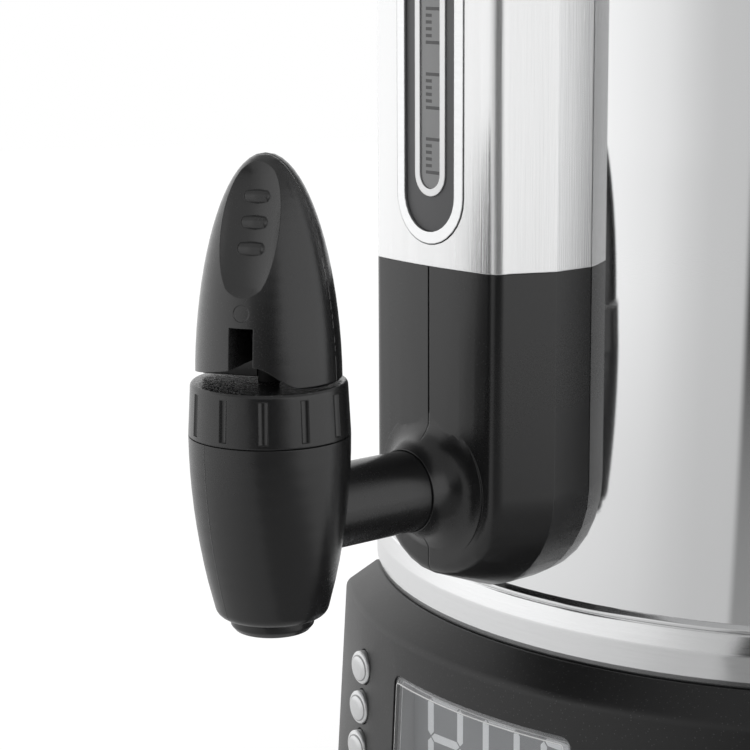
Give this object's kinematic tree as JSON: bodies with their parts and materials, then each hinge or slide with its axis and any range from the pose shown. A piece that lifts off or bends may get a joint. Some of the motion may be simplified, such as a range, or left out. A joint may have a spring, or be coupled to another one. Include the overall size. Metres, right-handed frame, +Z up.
{
  "type": "hot water urn",
  "caption": "Hot water urn: polished double-walled body on a moulded base with digital display and buttons, sight gauge column, self-closing lever tap, lift-off lid and side handles.",
  "frame": {"origin": "on the table, under the axis of the round body, at the middle of the circle of feet", "axes": "+Z up, -Y to the front (the tap's arm), +X to the right as seen from the front"},
  "size_m": [0.354, 0.3767, 0.4925],
  "materials": {
    "base_plastic": "black moulded plastic with a fine spark texture",
    "tap_plastic": "black moulded plastic, satin, with parting lines",
    "foot_rubber": "black rubber",
    "fastener_steel": "plain stainless fasteners and spring wire",
    "clear_lens": "clear gloss plastic",
    "clear_tube": "clear tube",
    "display_glass": "grey display glass",
    "circuit_board": "green solder mask",
    "silver_plastic": "silver painted plastic caps",
    "switch_plastic": "black switch bodies",
    "ivory_plastic": "ivory engineering plastic",
    "white_plastic": "white moulded plastic",
    "panel_plastic": "dark grey painted panel",
    "polished_steel": "mirror polished stainless steel",
    "satin_steel": "satin stainless steel",
    "brushed_cover": "stainless steel brushed along its length",
    "cast_aluminium": "cast aluminium",
    "element_steel": "heat-dulled steel sheath",
    "outlet_brass": "turned brass",
    "red_silicone": "red silicone rubber",
    "white_silicone": "translucent white silicone rubber"
  },
  "bodies": {
    "urn": {"base_shell": "base_plastic", "base_plate": "base_plastic", "rubber_feet": "foot_rubber", "base_screws": "fastener_steel", "display_lens": "clear_lens", "display_carrier": "base_plastic", "lcd_glass": "display_glass", "display_board": "circuit_board", "button_board": "circuit_board", "tact_switches": "switch_plastic", "control_board": "circuit_board", "terminal_block": "ivory_plastic", "mains_gland": "base_plastic", "gland_nut": "base_plastic", "bottom_rim": "satin_steel", "outer_jacket": "polished_steel", "inner_tank": "satin_steel", "tie_rods": "fastener_steel", "heat_spreader": "cast_aluminium", "heating_element": "element_steel", "thermal_cutout": "ivory_plastic", "temperature_probe": "satin_steel", "tank_outlet": "outlet_brass", "outlet_seal": "red_silicone", "manifold": "white_plastic", "sight_tube": "clear_tube", "sight_seals": "red_silicone", "column_rail": "tap_plastic", "rail_screws": "fastener_steel", "tap_housing": "tap_plastic", "gauge_cover": "brushed_cover", "column_cap": "tap_plastic", "gauge_bezel": "polished_steel", "gauge_panel": "panel_plastic", "window_ring": "white_plastic", "gauge_window": "clear_lens", "tap_body": "tap_plastic", "arm_seal": "foot_rubber", "nozzle": "tap_plastic", "tap_bonnet": "tap_plastic", "seat_cup": "white_silicone", "handle_left": "tap_plastic", "handle_right": "tap_plastic", "handle_screws": "fastener_steel"},
    "swivel": {"stem_washer": "fastener_steel", "stem_spring": "fastener_steel"},
    "stem": {"valve_stem": "tap_plastic", "lever_pin": "fastener_steel"},
    "lever": {"tap_lever": "tap_plastic"},
    "upper_button": {"button_upper": "silver_plastic"},
    "middle_button": {"button_middle": "silver_plastic"},
    "lower_button": {"button_lower": "silver_plastic"},
    "lid_set": {"lid": "polished_steel", "lid_gasket": "white_silicone", "lid_vent": "tap_plastic", "lid_knob": "tap_plastic", "knob_screw": "fastener_steel"}
  },
  "joints": [
    {"name": "lever_swivel", "type": "hinge", "parent": "urn", "child": "swivel", "pos_m": [0, -0.2116, 0.16], "axis": [0, 0, 1], "continuous": true},
    {"name": "stem_lift", "type": "slide", "parent": "swivel", "child": "stem", "axis": [0, 0, 1], "range_m": [0, 0.00524], "stiffness_N_per_m": 1200, "springref_m": -0.004, "deforming": ["stem_spring", "seat_cup"]},
    {"name": "lever_tilt", "type": "hinge", "parent": "stem", "child": "lever", "pos_m": [0, -0.2116, 0.1775], "axis": [0.866, 0.5, 0], "range_deg": [0, 30]},
    {"name": "upper_button_press", "type": "slide", "parent": "urn", "child": "upper_button", "axis": [0.1736, 0.9848, 0], "range_m": [0, 0.0008], "stiffness_N_per_m": 300, "springref_m": -0.0015},
    {"name": "middle_button_press", "type": "slide", "parent": "urn", "child": "middle_button", "axis": [0.1736, 0.9848, 0], "range_m": [0, 0.0008], "stiffness_N_per_m": 300, "springref_m": -0.0015},
    {"name": "lower_button_press", "type": "slide", "parent": "urn", "child": "lower_button", "axis": [0.1736, 0.9848, 0], "range_m": [0, 0.0008], "stiffness_N_per_m": 300, "springref_m": -0.0015},
    {"name": "lid_lift", "type": "slide", "parent": "urn", "child": "lid_set", "axis": [0, 0, 1], "range_m": [0, 0.15]}
  ],
  "couplings": [
    {"joint": "lever_tilt", "follows": "stem_lift", "rad_per_m": 100}
  ]
}
